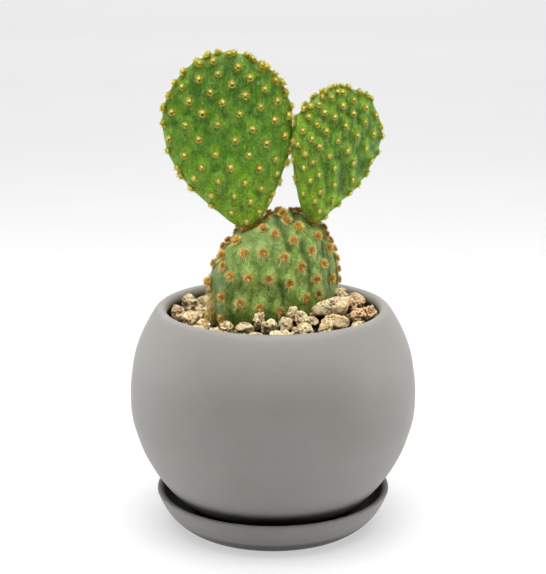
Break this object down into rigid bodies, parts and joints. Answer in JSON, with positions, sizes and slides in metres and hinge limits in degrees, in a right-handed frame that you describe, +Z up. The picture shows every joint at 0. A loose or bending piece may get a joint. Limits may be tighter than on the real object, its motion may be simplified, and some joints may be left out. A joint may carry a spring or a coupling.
{
  "type": "potted paddle cactus",
  "caption": "Paddle cactus with a thick old stem pad and two younger pads, in a round ceramic pot on a saucer, topped with coarse gravel.",
  "frame": {"origin": "on the pot's axis, at the level the saucer stands on", "axes": "+Z up along the pot's axis; -Y is the side the picture shows, with the large pad to the left (-X)"},
  "size_m": [0.12, 0.12, 0.1988],
  "materials": {
    "pot_clay": "matte",
    "saucer_clay": "matte",
    "growing_mix": "matte",
    "old_stem": "satin",
    "young_stem": "satin",
    "gravel": "matte"
  },
  "bodies": {
    "root": {"saucer": "saucer_clay", "pot": "pot_clay", "growing_mix": "growing_mix", "base_pad": "old_stem", "large_pad": "young_stem", "small_pad": "young_stem", "stone_01": "gravel", "stone_02": "gravel", "stone_03": "gravel", "stone_04": "gravel", "stone_05": "gravel", "stone_06": "gravel", "stone_07": "gravel", "stone_08": "gravel", "stone_09": "gravel", "stone_10": "gravel", "stone_11": "gravel", "stone_12": "gravel", "stone_13": "gravel", "stone_14": "gravel", "stone_15": "gravel", "stone_16": "gravel", "stone_17": "gravel", "stone_18": "gravel", "stone_19": "gravel", "stone_20": "gravel", "stone_21": "gravel", "stone_22": "gravel", "stone_23": "gravel", "stone_24": "gravel", "stone_25": "gravel", "stone_26": "gravel", "stone_27": "gravel", "stone_28": "gravel", "stone_29": "gravel", "stone_30": "gravel", "stone_31": "gravel", "stone_32": "gravel", "stone_33": "gravel", "stone_34": "gravel", "stone_35": "gravel", "stone_36": "gravel", "stone_37": "gravel", "stone_38": "gravel", "stone_39": "gravel", "stone_40": "gravel", "stone_41": "gravel", "stone_42": "gravel", "stone_43": "gravel", "stone_44": "gravel", "stone_45": "gravel", "stone_46": "gravel", "stone_47": "gravel", "stone_48": "gravel", "stone_49": "gravel", "stone_50": "gravel", "stone_51": "gravel", "stone_52": "gravel", "stone_53": "gravel", "stone_54": "gravel"}
  },
  "joints": []
}
